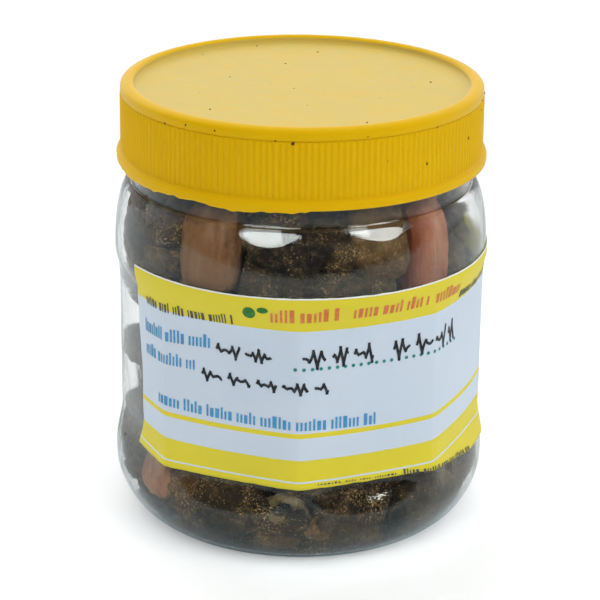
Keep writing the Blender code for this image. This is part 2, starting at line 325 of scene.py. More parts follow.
def jar_heights():
    """The heights of the wall's rings from the heel to the neck's top."""
    heights = [BUMPER_HEIGHT * (1.0 - math.cos(QUARTER * i / HEEL_STEPS)) for i in range(1, HEEL_STEPS + 1)]
    waist, top, rise = PANEL_BOTTOM - BUMPER_HEIGHT, SHOULDER_START - PANEL_TOP, SHOULDER_END - SHOULDER_START
    heights += [BUMPER_HEIGHT + waist * i / WAIST_STEPS for i in range(1, WAIST_STEPS + 1)]
    heights += [z * MM for z in PANEL_HEIGHTS]
    heights += [PANEL_TOP + top * i / TOP_STEPS for i in range(TOP_STEPS + 1)]
    turns = [QUARTER * i / SHOULDER_STEPS for i in range(1, SHOULDER_STEPS + 1)]
    heights += [SHOULDER_START + rise * math.sin(turn) for turn in turns]
    heights += [z * MM for z in NECK_HEIGHTS]
    return heights + [NECK_TOP - 0.2 * MM, NECK_TOP]


def build_jar():
    heights = jar_heights()
    rings = list(base_rings(BASE_UNDER))
    rings += [jar_ring(z) for z in heights]
    rings += [jar_ring(z, WALL) for z in reversed(heights) if z > LOWEST_INSIDE]
    rings += base_rings(BASE_FLOOR)
    bottom = Vector((0, 0, BASE_PUSH_UP))
    floor = Vector((0, 0, BASE_PUSH_UP * BASE_FLOOR_MIDDLE))
    return turned("jar_clear", rings, clear_plastic(), bottom, floor)


# Ribbed screw lid
RIBS = 188
RIB_STEPS = 6
RIB_DEPTH, RIB_ROUNDNESS = 0.27 * MM, 0.85
FLASH_DEPTH = 0.75 * MM
DISC_TOP = 81.75 * MM
DISC_UNDER = 80.3 * MM
DISC_EDGE = 29.6
RIM_CENTRE, RIM_HEIGHT = 31.45, 82.45
SUNK_ABOVE, SUNK_RADIUS = 81.3 * MM, 30.6 * MM
SIDE_SPECKS, DISC_SPECKS = 34, 13


def yellow_plastic():
    t = Tree("yellow_plastic")
    at = t.place()
    colour = t.mix(t.noise(at, 45.0), (0.68, 0.405, 0.001), (0.77, 0.47, 0.002))
    scuff = t.noise(t.place((1, 1, 6)), 420.0, 4.0, 0.7)
    colour = t.mix(t.ramp(scuff, 0.62, 0.8, high=grey(0.2)), colour, (0.80, 0.58, 0.10))
    patches = t.noise(at, 30.0, 2.0, 0.5)
    limit = t.times(t.minus(patches, 0.50), 0.5)
    dirt = t.math("LESS_THAN", t.voronoi(at, 230.0), limit)
    colour = t.mix(t.times(dirt, 0.8), colour, (0.10, 0.04, 0.006))
    rough = t.ramp(t.noise(at, 300.0, 3.0, 0.6), 0.3, 0.7, grey(0.40), grey(0.52))
    normal = t.bump(t.noise(at, 900.0, 3.0, 0.6), 0.12, 0.0004)
    # the sunk disc is painted paler than the rim and the side, in uneven patches: a painted sheen from
    # glancing reflection
    x, y, z = t.axes(t.spot())
    top = t.math("GREATER_THAN", z, SUNK_ABOVE)
    across = t.plus(t.times(x, x), t.times(y, y))
    sunk = t.times(top, t.math("LESS_THAN", across, SUNK_RADIUS ** 2))
    painted_sheen_patches = t.ramp(t.noise(at, 240.0, 4.0, 0.65), 0.3, 0.7, grey(0.62))
    # painted sheen: the pale disc colour is mixed in by the patch mask
    colour = t.mix(t.times(sunk, painted_sheen_patches), colour, (0.585, 0.450, 0.112))
    soft = {"Specular_IOR_Level": 0.06, "Subsurface_Weight": 0.10, "Subsurface_Scale": 0.0012}
    body = t.principled(colour, rough, Normal=normal, **soft)
    # satin sheen that grows towards grazing angles
    facing = t.add("ShaderNodeLayerWeight", Blend=0.5).outputs["Facing"]
    share = t.plus(t.times(top, 0.14), 0.07)
    satin = t.add("ShaderNodeBsdfGlossy", Color=(0.95, 0.97, 1.0), Roughness=0.42).outputs[0]
    return t.finish(t.blend(t.times(t.math("POWER", facing, 3.3), share), body, satin))


def flash(angle):
    """How far the ragged flash hangs below the flange; it is only there at the left."""
    front = (math.degrees(angle) + 90.0 + 180.0) % 360.0 - 180.0
    reach = smooth((front + 97.0) / 12.0) * smooth((3.0 - front) / 2.0)
    wave = 0.62 + 0.25 * math.sin(angle * 9.0) + 0.13 * math.sin(angle * 23.0 + 1.3)
    wave += 0.10 * math.sin(angle * 61.0) + 0.06 * math.sin(angle * 97.0 + 0.5)
    notch = 1.0 - 0.85 * math.exp(-((front + 33.0) / 3.5) ** 2)
    return FLASH_DEPTH * max(reach * wave * notch, 0.0)


def lid_profile():
    """Rows of radius and height in millimetres, share of the ribs and share of the flash."""
    crest = [(2.0, 81.74), (8.0, 81.73), (15.0, 81.72), (22.0, 81.70), (27.0, 81.69), (DISC_EDGE, 81.70)]
    for i in range(1, 7):
        turn = QUARTER * i / 6.0
        crest.append((DISC_EDGE + 0.9 * math.sin(turn), RIM_HEIGHT - 0.75 * math.cos(turn)))
    for i in range(1, 13):
        turn = QUARTER * i / 6.0
        reach = 0.95 if i < 7 else 1.55
        drop = 0.25 * max(i - 6, 0) / 6.0
        crest.append((RIM_CENTRE - reach * math.cos(turn), RIM_HEIGHT + 0.65 * math.sin(turn) - drop))
    crest += [(33.02, 81.9), (33.03, 81.5), (33.03, 81.12), (32.98, 81.02), (32.78, 80.93)]
    ribbed = [(32.78, 80.86, 0.1), (32.84, 80.76, 0.75), (32.86, 80.6, 1), (32.86, 79.0, 1), (32.87, 76.0, 1)]
    ribbed += [(32.88, 73.0, 1), (32.90, 71.1, 1), (32.92, 70.85, 0.8), (33.0, 70.6, 0.3)]
    flange = [(33.2, 70.45), (33.55, 70.33), (33.76, 70.15), (33.85, 69.9), (33.86, 69.5)]
    hem = [(33.84, 69.1, 0.05), (33.78, 68.86, 0.25), (33.70, 68.80, 0.7)]
    hem += [(33.62, 68.78, 1.0), (33.46, 68.78, 1.0), (33.34, 68.80, 0.7)]
    inside = [(33.1, 68.82), (32.2, 68.82), (31.8, 68.9), (31.75, 72.0), (31.75, 80.3), (15.0, 80.3)]
    rows = [(radius, height, 0, 0) for radius, height in crest]
    rows += [(radius, height, share, 0) for radius, height, share in ribbed]
    rows += [(radius, height, 0, 0) for radius, height in flange]
    rows += [(radius, height, 0, share) for radius, height, share in hem]
    return rows + [(radius, height, 0, 0) for radius, height in inside]


def build_lid():
    angles = [FULL_TURN * i / (RIBS * RIB_STEPS) for i in range(RIBS * RIB_STEPS)]
    hang = [flash(angle) for angle in angles]
    waves = [0.5 + 0.5 * math.cos(FULL_TURN * i / RIB_STEPS) for i in range(len(angles))]
    ribs = [RIB_DEPTH * wave ** RIB_ROUNDNESS for wave in waves]
    rings = []
    for radius, height, ribbed, hung in lid_profile():
        points = []
        for angle, rib, low in zip(angles, ribs, hang):
            points.append(spot(radius * MM + ribbed * rib, angle, height * MM - hung * low))
        rings.append(points)
    top, under = Vector((0, 0, DISC_TOP)), Vector((0, 0, DISC_UNDER))
    return turned("lid_ribbed", rings, yellow_plastic(), top, under)


def build_lid_dirt():
    """Dark specks caught on the lid's ribs and disc."""
    chance = random.Random(21)
    corners = 9
    verts, faces = [], []

    def speck(centre, out, size):
        start = len(verts)
        side = out.orthogonal().normalized()
        other = out.cross(side)
        verts.append(centre + out * size * 0.25)
        for k in range(corners):
            turn = FULL_TURN * k / corners
            r = size * chance.uniform(0.35, 0.6)
            verts.append(centre + (side * math.cos(turn) + other * math.sin(turn)) * r - out * 0.02 * MM)
        verts.append(centre - out * size * 0.1)
        for k in range(corners):
            a, b = start + 1 + k, start + 1 + (k + 1) % corners
            faces.append((start, a, b))
            faces.append((start + corners + 1, b, a))

    for k in range(SIDE_SPECKS):
        out = spot(1.0, chance.uniform(0.0, FULL_TURN), 0.0)
        z = chance.choice((chance.uniform(70.8, 80.8), chance.uniform(80.9, 81.8))) * MM
        speck(out * 33.06 * MM + Vector((0, 0, z)), out, chance.choice((0.3, 0.4, 0.45, 0.7)) * MM)
    for k in range(DISC_SPECKS):
        angle = chance.uniform(0.0, FULL_TURN)
        centre = spot(29.5 * MM * math.sqrt(chance.random()), angle, 81.73 * MM)
        speck(centre, Vector((0, 0, 1)), chance.choice((0.25, 0.3, 0.4, 0.5)) * MM)
    t = Tree("lid_dirt")
    shade = t.ramp(t.noise(t.place(), 700.0), 0.35, 0.65, (0.05, 0.025, 0.008), (0.16, 0.085, 0.02))
    return make_object("lid_dirt", verts, faces, t.finish(t.principled(shade, 0.8)))


# Label
LABEL_BOTTOM = 16.8 * MM
LABEL_TOP = 53.2 * MM
LABEL_RIGHT = 127.5
LABEL_COLUMNS, LABEL_ROWS = 300, 72
PAPER = 0.1 * MM
LIFT = 0.18 * MM
INK_LIFT = 0.06 * MM
PEN_LIFT = 0.07 * MM
PER_DEGREE = 0.59 * MM
# The yellow fields by height in millimetres: band, line, band and cut strip
YELLOW_FIELDS = ((46.9, 52.95), (26.6, 27.5), (18.25, 22.3), (13.0, 17.95))
CUT_EDGE = 52.97


def label_left(z):
    """The left end of the paper in degrees from the front; it isn't quite straight."""
    foot = 4.4 * smooth((23.0 * MM - z) / (6.0 * MM))
    belly = 2.8 * smooth((z - 30.0 * MM) / (14.0 * MM))
    top = 4.2 * smooth((z - 44.5 * MM) / (6.0 * MM))
    return -60.6 - foot - belly + top


def label_floor(degrees):
    fall = 0.085 * MM * max(min(degrees, 74.0) - 40.0, 0.0)
    return LABEL_BOTTOM - fall


def on_label(degrees, z, lift=0.0):
    """A point on the paper, which is a little wavy."""
    angle = front_angle(degrees)
    broad = noise.noise(Vector((degrees * 0.11, z * 160.0, 3.0)))
    close = noise.noise(Vector((degrees * 0.4, z * 420.0, 9.0)))
    wave = 0.05 * broad + 0.03 * close
    r = 0.5 * (wall_radius(z, angle) + soft_wall(z, angle, 0.06)) + LIFT + (wave + 0.05) * MM + lift
    return spot(r, angle, z)


def label_paper():
    t = Tree("label_paper")
    uv = t.add("ShaderNodeUVMap", uv_map="label").outputs[0]
    height = t.axes(uv)[1]
    wobble = t.times(t.minus(t.noise(uv, 0.35, 2.0), 0.5), 0.12)
    v = t.plus(height, wobble)
    at = t.place()
    tone = t.noise(at, 60.0, 3.0, 0.5)
    white = t.mix(tone, (0.54, 0.64, 0.75), (0.62, 0.70, 0.79))
    yellow = t.mix(tone, (0.67, 0.57, 0.018), (0.77, 0.66, 0.026))
    fields = None
    for low, high in YELLOW_FIELDS:
        inside = t.times(t.math("GREATER_THAN", v, low), t.math("LESS_THAN", v, high))
        fields = inside if fields is None else t.plus(fields, inside, True)
    colour = t.mix(t.math("GREATER_THAN", height, CUT_EDGE), t.mix(fields, white, yellow), (0.82, 0.84, 0.84))
    fibre = t.noise(at, 1800.0, 3.0, 0.7)
    rough = t.ramp(fibre, 0.3, 0.7, grey(0.46), grey(0.6))
    creased = t.noise(t.place((1, 1, 0.35)), 110.0, 3.0, 0.6)
    normal = t.bump(creased, 0.25, 0.0008, Normal=t.bump(fibre, 0.1, 0.0002))
    return t.finish(t.principled(colour, rough, Normal=normal, Specular_IOR_Level=0.45))


def build_label():
    columns, rows = LABEL_COLUMNS, LABEL_ROWS
    verts, uvs = [], []
    for layer in (0.0, -PAPER):
        for j in range(rows + 1):
            share = j / rows
            left = label_left(LABEL_BOTTOM + (LABEL_TOP - LABEL_BOTTOM) * share)
            left += 0.25 * noise.noise(Vector((0.0, j * 0.2, 1.0)))
            for i in range(columns + 1):
                degrees = left + (LABEL_RIGHT - left) * i / columns
                low = label_floor(degrees) + 0.10 * MM * noise.noise(Vector((degrees * 0.25, 5.0, 1.0)))
                high = LABEL_TOP + 0.08 * MM * noise.noise(Vector((degrees * 0.3, 2.0, 7.0)))
                z = low + (high - low) * share
                verts.append(on_label(degrees, z, layer))
                uvs.append((degrees * 0.6, z / MM))
    wide = columns + 1
    per = (rows + 1) * wide
    faces, edges = [], []
    for j in range(rows):
        for a in range(j * wide, j * wide + columns):
            faces.append((a, a + 1, a + wide + 1, a + wide))
            faces.append((per + a, per + a + wide, per + a + wide + 1, per + a + 1))
    for i in range(columns):
        a = rows * wide + i
        edges += [(i + 1, i), (a, a + 1)]
    for j in range(rows):
        a, b = j * wide, j * wide + columns
        edges += [(a, a + wide), (b + wide, b)]
    faces += [(a, b, per + b, per + a) for a, b in edges]
    made = make_object("label_sheet", verts, faces, label_paper())
    layer = made.data.uv_layers.new(name="label")
    loops = np.zeros(len(made.data.loops), np.int32)
    made.data.loops.foreach_get("vertex_index", loops)
    layer.data.foreach_set("uv", np.array(uvs, np.float32)[loops].ravel())
    return made


def ink(name, colour):
    t = Tree(name)
    wear = t.noise(t.place(), 900.0, 3.0, 0.7)
    pale = tuple(min(c * 1.5 + 0.12, 0.9) for c in colour)
    shade = t.mix(t.ramp(wear, 0.45, 0.75, high=grey(0.5)), colour, pale)
    return t.finish(t.principled(shade, 0.5, Specular_IOR_Level=0.35))


class Print(Gathered):
    """Flat marks that follow the paper."""
    def patch(self, outline):
        start = len(self.verts)
        for degrees, z in outline:
            self.verts.append(on_label(degrees, z, INK_LIFT))
        self.faces.append(tuple(range(start, len(self.verts))))

    def bar(self, left, right, low, high, rise):
        """A block from left to right degrees, cut small so that it follows the paper."""
        steps = max(int((right - left) / 0.8), 1)
        floors = max(int((high - low) / (0.7 * MM)), 1)
        for k in range(steps):
            a = left + (right - left) * k / steps
            b = left + (right - left) * (k + 1) / steps
            up_a, up_b = rise * (a - left), rise * (b - left)
            for m in range(floors):
                c = low + (high - low) * m / floors
                d = low + (high - low) * (m + 1) / floors
                self.patch([(a, c + up_a), (b, c + up_b), (b, d + up_b), (a, d + up_a)])

    def row(self, left, right, low, height, line, rise, wide, gap, chance):
        """A row of plain blocks, wide ones and thin lines, with a wider gap now and then."""
        at, run = left, 0
        pause = chance.randint(4, 8)
        while at < right - 0.4:
            base = low + rise * (at - left)
            span = min(chance.uniform(0.40, 0.62) * wide, right - at)
            tall = height * chance.choice((0.70, 0.74, 0.78, 0.98))
            if chance.random() < 0.62:
                span = line / PER_DEGREE
            self.bar(at, at + span, base, base + tall, rise)
            at += span + gap
            run += 1
            if run >= pause:
                at += 1.1
                run, pause = 0, chance.randint(4, 8)

    def dot(self, degrees, z, radius, squash=1.0):
        corners = 14
        middle = len(self.verts)
        self.verts.append(on_label(degrees, z, INK_LIFT))
        for k in range(corners):
            turn = FULL_TURN * k / corners
            across = math.degrees(radius * math.cos(turn) / (33.6 * MM))
            self.verts.append(on_label(degrees + across, z + squash * radius * math.sin(turn), INK_LIFT))
        for k in range(corners):
            self.faces.append((middle, middle + 1 + k, middle + 1 + (k + 1) % corners))

    def stroke(self, points, width):
        """A pen stroke."""
        fine = []
        for (d0, z0), (d1, z1) in zip(points, points[1:]):
            parts = max(int(math.hypot((d1 - d0) * PER_DEGREE, z1 - z0) / (0.5 * MM)), 1)
            for k in range(parts):
                fine.append((d0 + (d1 - d0) * k / parts, z0 + (z1 - z0) * k / parts))
        fine.append(points[-1])
        start = len(self.verts)
        for k, (d, z) in enumerate(fine):
            d0, z0 = fine[max(k - 1, 0)]
            d1, z1 = fine[min(k + 1, len(fine) - 1)]
            run = Vector(((d1 - d0) * PER_DEGREE, z1 - z0)).normalized()
            side = Vector((-run.y, run.x)) * width / 2.0
            across = side.x / PER_DEGREE
            self.verts.append(on_label(d - across, z - side.y, PEN_LIFT))
            self.verts.append(on_label(d + across, z + side.y, PEN_LIFT))
        for k in range(len(fine) - 1):
            a = start + 2 * k
            self.faces.append((a, a + 2, a + 3, a + 1))

    def pen_row(self, left, right, low, height, rise, chance):
        """Plain pen waves, broken into a few runs."""
        at = left
        while at < right - 2.0:
            wide = min(chance.uniform(5.0, 9.0), right - at)
            pitch = chance.uniform(1.9, 2.6)
            phase = chance.uniform(0.0, 6.28)
            points = []
            for k in range(int(wide * 8) + 1):
                x = k / 8.0
                swell = 0.55 + 0.45 * math.sin(x * 0.9 + phase)
                up = 0.5 + 0.5 * swell * math.sin(FULL_TURN * x / pitch)
                across = at + x + 0.25 * math.sin(4.0 * math.pi * x / pitch)
                points.append((across, low + rise * (at + x - left) + height * up))
            self.stroke(points, 0.52 * MM)
            at += wide + chance.uniform(1.4, 2.2)

    def inked(self, name, colour):
        return self.build(name, ink(name, colour), False)


# Printed rows: left and right end in degrees, then foot, tallness, thin line and rise per degree in
# millimetres, and the widest block and the gap in degrees
RED_ROWS = (
    (-8.6, 12.5, 48.4, 2.6, 0.42, 0.02, 2.6, 0.7),
    (16.0, 41.5, 48.9, 2.5, 0.42, 0.005, 2.6, 0.7),
    (44.5, 56.5, 48.9, 2.4, 0.40, 0.0, 2.6, 0.7),
)
GREY_ROWS = (
    (-55.0, -20.5, 46.3, 2.0, 0.26, 0.022, 1.8, 0.5),
    (58.5, 92.0, 47.4, 1.9, 0.30, -0.02, 1.8, 0.5),
    (6.0, 34.0, 17.35, 0.35, 0.22, -0.012, 1.4, 0.5),
    (35.0, 74.0, 16.9, 1.0, 0.24, -0.075, 1.6, 0.5),
)
BLUE_ROWS = (
    (-57.5, -28.0, 40.6, 2.5, 0.40, 0.035, 2.3, 0.6),
    (-57.0, -33.5, 36.4, 2.4, 0.36, 0.02, 2.3, 0.6),
    (-48.5, 25.0, 28.7, 2.3, 0.40, -0.012, 2.3, 0.6),
)
# Pen rows: left and right end in degrees, foot, tallness and rise per degree in millimetres
PEN_ROWS = (
    (-26.5, -8.5, 40.3, 2.8, -0.02),
    (1.0, 27.0, 39.6, 4.2, 0.0),
    (30.5, 57.0, 39.2, 4.6, 0.0),
    (-31.5, 9.0, 35.2, 2.5, -0.012),
)
DOTS, DOT_PITCH = 24, 2.58


def build_print():
    chance = random.Random(3)
    made = []
    for name, colour, rows in (
        ("print_red", (0.62, 0.16, 0.04), RED_ROWS),
        ("print_grey", (0.07, 0.07, 0.06), GREY_ROWS),
        ("print_blue", (0.045, 0.27, 0.52), BLUE_ROWS),
    ):
        marks = Print()
        for left, right, low, height, line, rise, wide, gap in rows:
            marks.row(left, right, low * MM, height * MM, line * MM, rise * MM, wide, gap, chance)
        made.append(marks.inked(name, colour))
    teal = Print()
    for k in range(DOTS):
        teal.dot(-1.2 + k * DOT_PITCH, (39.75 - 0.012 * k) * MM, 0.33 * MM)
    made.append(teal.inked("print_dots", (0.01, 0.22, 0.18)))
    green = Print()
    green.dot(-15.0, 50.0 * MM, 1.15 * MM)
    green.dot(-10.9, 50.7 * MM, 1.0 * MM, 0.6)
    made.append(green.inked("print_green", (0.02, 0.17, 0.02)))
    pen = Print()
    for left, right, low, height, rise in PEN_ROWS:
        pen.pen_row(left, right, low * MM, height * MM, rise * MM, chance)
    made.append(pen.inked("print_pen", (0.012, 0.014, 0.018)))
    return made


# The nuts
NUT_GAP = 0.35 * MM
TOUCH = 0.15 * MM
BODY_WALL = 0.8 * MM
NECK_WALL = 1.0 * MM
NUT_ROWS, NUTS_PER_ROW = 6, 10
NUT_LENGTH, NUT_WIDTH, NUT_THICKNESS = 18.5 * MM, 14.0 * MM, 11.0 * MM
FIRST_ROW, ROW_PITCH = 9.5 * MM, 10.4 * MM
CORE_TOP = 64.5 * MM
TOP_NUTS = 7
DRAWS = 23
SMALL_PIECES, HEEL_PIECES, HEEL_CRUMBS = 150, 130, 84
COARSE, FINE, TINY = 0.12, 0.07, 0.02
FLOOR_SLACK = 0.5 * MM
BEND_RADIUS = 33.0 * MM


def inner_radius(z, angle):
    return wall_radius(z, angle) - (NECK_WALL if z > SHOULDER_END else BODY_WALL)


# Places kept free for the larger pieces: front angle and half width in degrees, lowest, highest and depth
# in millimetres
ROOM = (
    (-31.0, 12.0, 50.5, 70.0, 5.2),
    (45.0, 10.0, 49.0, 70.0, 5.2),
    (-55.5, 10.0, 6.0, 19.5, 4.2),
    (150.0, 9.0, 32.0, 48.0, 4.2),
    (205.0 - 360.0, 9.0, 17.0, 31.0, 4.2),
    (-88.0, 20.0, 34.0, 42.0, 3.6),
    (-88.0, 20.0, 22.0, 30.0, 2.4),
    (84.0, 20.0, 49.0, 62.0, 3.2),
    (84.0, 24.0, 62.0, 72.0, 5.5),
    (-84.0, 20.0, 64.5, 72.0, 3.0),
    (-88.0, 16.0, 47.0, 63.0, 1.2),
)


def room_depth(front, z):
    most = 0.0
    for centre, half, low, high, depth in ROOM:
        off = abs((front - centre + 180.0) % 360.0 - 180.0)
        if off < half and low * MM < z < high * MM:
            most = max(most, depth * MM)
    return most


def clear_of_jar(point, gap):
    angle = math.atan2(point.y, point.x)
    reach = math.hypot(point.x, point.y)
    gap += room_depth(math.degrees(angle) + 90.0, point.z)
    if reach > soft_wall(point.z - FLOOR_SLACK, angle) - WALL - gap:
        return False
    hump = BASE_PUSH_UP * smooth((23.5 * MM - reach) / (12.0 * MM))
    return point.z > WALL + gap + hump


def drawn_in(point, centre, gap):
    """The point itself, or the last place towards it from the centre that is clear of the jar."""
    if clear_of_jar(point, gap):
        return point
    near, far = 0.0, 1.0
    for _ in range(8):
        half = (near + far) / 2.0
        if clear_of_jar(centre.lerp(point, half), gap):
            near = half
        else:
            far = half
    return centre.lerp(point, near)


class Heap(Gathered):
    """Uneven pieces."""
    def lump(self, place, turn, size, gap, ridge, key, sides=44, bands=26):
        """One uneven nut on a grid round its long axis."""
        start = len(self.verts)
        offset = Vector((key * 3.1, key * 1.7, key * 0.9))
        half = Vector(size) / 2.0

        def shape(polar, around):
            axis = math.cos(polar)
            y, z = math.sin(polar) * math.cos(around), math.sin(polar) * math.sin(around)
            lump = 1.12 + 0.12 * math.sin(3.0 * around + ridge)
            base = Vector((axis, y, z))
            big = noise.noise(base * 1.3 + offset)
            mid = 1.0 - abs(noise.noise(base * 3.1 + offset)) * 2.0
            small = 1.0 - abs(noise.noise(base * 7.5 + offset)) * 2.0
            tiny = noise.noise(base * 19.0 + offset)
            grow = 1.0 + COARSE * big * 2.0 + FINE * (mid * 0.9 + small * 0.55) + TINY * tiny - FINE
            return Vector((axis * half.x * grow, y * half.y * lump * grow, z * half.z * lump * grow))

        def put(polar, around):
            self.verts.append(drawn_in(turn @ shape(polar, around) + place, place, gap))

        put(0.0, 0.0)
        for j in range(1, bands):
            for i in range(sides):
                put(math.pi * j / bands, FULL_TURN * i / sides)
        put(math.pi, 0.0)
        last = len(self.verts) - 1
        for i in range(sides):
            k = (i + 1) % sides
            self.faces.append((start, start + 1 + i, start + 1 + k))
            for j in range(bands - 2):
                a = start + 1 + j * sides
                self.faces.append((a + i, a + sides + i, a + sides + k, a + k))
            a = start + 1 + (bands - 2) * sides
            self.faces.append((last, a + k, a + i))


def nut_skin(name, dark, mid, pale):
    t = Tree(name)
    at = t.place()
    broad = t.noise(at, 95.0, 4.0, 0.6)
    grain = t.noise(at, 700.0, 5.0, 0.7, 0.4)
    flecks = t.noise(at, 2600.0, 3.0, 0.75)
    colour = t.mix(t.ramp(broad, 0.40, 0.64, ease=True), dark, mid)
    colour = t.mix(t.ramp(grain, 0.50, 0.70, high=grey(0.7)), colour, pale)
    # every nut has a tone of its own
    own = t.add("ShaderNodeNewGeometry").outputs["Random Per Island"]
    own = t.times(t.minus(own, 0.3, True), 0.45)
    colour = t.mix(own, colour, (mid[0] * 2.1, mid[1] * 2.1, mid[2] * 1.9))
    # warm flecks that gather in places
    gather = t.ramp(t.noise(at, 130.0, 4.0, 0.65), 0.46, 0.68)
    warm = t.mix(t.noise(at, 320.0, 2.0), (0.25, 0.13, 0.040), (0.30, 0.21, 0.10))
    colour = t.mix(t.times(gather, t.ramp(flecks, 0.54, 0.64)), colour, warm)
    # light grit
    grit = t.minus(t.noise(at, 190.0, 3.0, 0.6), 0.40)
    size = t.math("MINIMUM", t.times(grit, 1.1), 0.21)
    grit = t.math("LESS_THAN", t.voronoi(at, 1600.0), size)
    colour = t.mix(t.times(grit, 0.5), colour, (0.24, 0.165, 0.080))
    cracks = t.math("MINIMUM", t.voronoi(at, 330.0, "DISTANCE_TO_EDGE"), 0.2)
    height = t.plus(t.times(grain, 0.8), t.times(cracks, 1.6))
    height = t.plus(height, t.times(flecks, 0.25))
    normal = t.bump(height, 0.8, 0.0010)
    return t.finish(t.principled(colour, 0.7, Normal=normal, Specular_IOR_Level=0.03))


def along_wall(angle, lean, roll):
    """Lays a piece with its long and middle axes along the wall."""
    turn = Matrix.Rotation(angle + QUARTER, 3, "Z") @ Matrix.Rotation(QUARTER + lean, 3, "X")
    return turn @ Matrix.Rotation(roll, 3, "Z")


def any_way(chance, axis, most):
    """Turns a piece any way round and leans it by up to most."""
    turn = Matrix.Rotation(chance.uniform(0.0, 6.28), 3, "Z")
    return turn @ Matrix.Rotation(chance.uniform(-most, most), 3, axis)


def skip_bumps(chance):
    """Leaves out the draws that the solids spend on their bumps, so that both heaps agree."""
    for _ in range(DRAWS):
        chance.uniform(-0.09, 0.09)


def build_nuts():
    chance = random.Random(31)
    dark, brown = Heap(), Heap()
    count = 0
    for row in range(NUT_ROWS):
        for place in range(NUTS_PER_ROW):
            angle = FULL_TURN * (place + 0.5 * (row % 2) + chance.uniform(-0.2, 0.2)) / NUTS_PER_ROW
            z = FIRST_ROW + row * ROW_PITCH + chance.uniform(-1.6, 1.6) * MM
            size = [side * chance.uniform(0.85, 1.15) for side in (NUT_LENGTH, NUT_WIDTH, NUT_THICKNESS)]
            gap = NUT_GAP + chance.uniform(0.0, 0.9) * MM
            centre = spot(inner_radius(z, angle) - gap - size[2] * 0.40, angle, z)
            tilt = chance.uniform(-1.3, 1.3)
            roll = chance.uniform(-0.3, 0.3)
            ridge = chance.uniform(0.0, 6.28)
            skip_bumps(chance)
            count += 1
            heap = brown if count % 4 == 3 else dark
            heap.lump(centre, along_wall(angle, roll, tilt), size, TOUCH, ridge, count)
    for place in range(TOP_NUTS):
        angle = FULL_TURN * place / TOP_NUTS + chance.uniform(-0.2, 0.2)
        centre = spot(15.5 * MM if place else 2.0 * MM, angle, CORE_TOP + 0.8 * MM)
        turn = any_way(chance, "Y", 0.3)
        ridge = chance.uniform(0.0, 6.28)
        skip_bumps(chance)
        count += 1
        dark.lump(centre, turn, (NUT_LENGTH, NUT_WIDTH, NUT_THICKNESS), TOUCH, ridge, count)
    black = nut_skin("dried_nut", (0.003, 0.003, 0.0028), (0.015, 0.010, 0.0055), (0.060, 0.038, 0.018))
    umber = nut_skin("dried_nut_brown", (0.008, 0.005, 0.003), (0.044, 0.024, 0.010), (0.11, 0.066, 0.029))
    small, chips = build_bits()
    return [
        dark.build("nuts_dark", black),
        brown.build("nuts_brown", umber),
        small.build("nuts_small", black),
        chips.build("nuts_chips", umber),
    ]


def build_bits():
    """Small pieces and crumbs that fill the heap's gaps along the wall and in the heel."""
    chance = random.Random(12)
    small, chips = Heap(), Heap()
    for k in range(SMALL_PIECES):
        angle = chance.uniform(0.0, FULL_TURN)
        z = chance.uniform(7.0, 62.0) * MM
        size = [chance.uniform(low, high) * MM for low, high in ((6.5, 11.0), (5.0, 8.5), (4.5, 7.0))]
        centre = spot(soft_wall(z, angle) - WALL - size[2] * chance.uniform(0.45, 0.8), angle, z)
        turn = along_wall(angle, chance.uniform(-0.4, 0.4), chance.uniform(-1.5, 1.5))
        small.lump(centre, turn, size, TOUCH, chance.uniform(0.0, 6.28), 100 + k, 26, 15)
    for k in range(HEEL_PIECES):
        angle = chance.uniform(0.0, FULL_TURN)
        z = chance.uniform(1.2, 9.0) * MM
        long = chance.uniform(4.0, 8.5) * MM
        size = (long, long * chance.uniform(0.6, 0.9), long * chance.uniform(0.4, 0.7))
        centre = spot(soft_wall(z, angle) - WALL - chance.uniform(1.0, 3.4) * MM, angle, z + 0.6 * MM)
        turn = any_way(chance, "X", 1.0)
        heap = chips if k % 3 == 0 else small
        heap.lump(centre, turn, size, 0.1 * MM, chance.uniform(0.0, 6.28), 300 + k, 22, 13)
    for k in range(HEEL_CRUMBS):
        angle = FULL_TURN * (k + chance.uniform(-0.4, 0.4)) / HEEL_CRUMBS
        z = chance.uniform(1.5, 3.2) * MM
        long = chance.uniform(3.4, 5.6) * MM
        centre = spot(soft_wall(z - FLOOR_SLACK, angle) - WALL - chance.uniform(0.5, 1.6) * MM, angle, z)
        turn = any_way(chance, "X", 1.0)
        heap = chips if k % 4 == 0 else small
        size = (long, long * 0.8, long * 0.65)
        heap.lump(centre, turn, size, 0.06 * MM, chance.uniform(0.0, 6.28), 500 + k, 18, 11)
    return small, chips


# Larger pieces
WALL_PIECE_GAP = 0.25 * MM
RING_GAP = 0.1 * MM


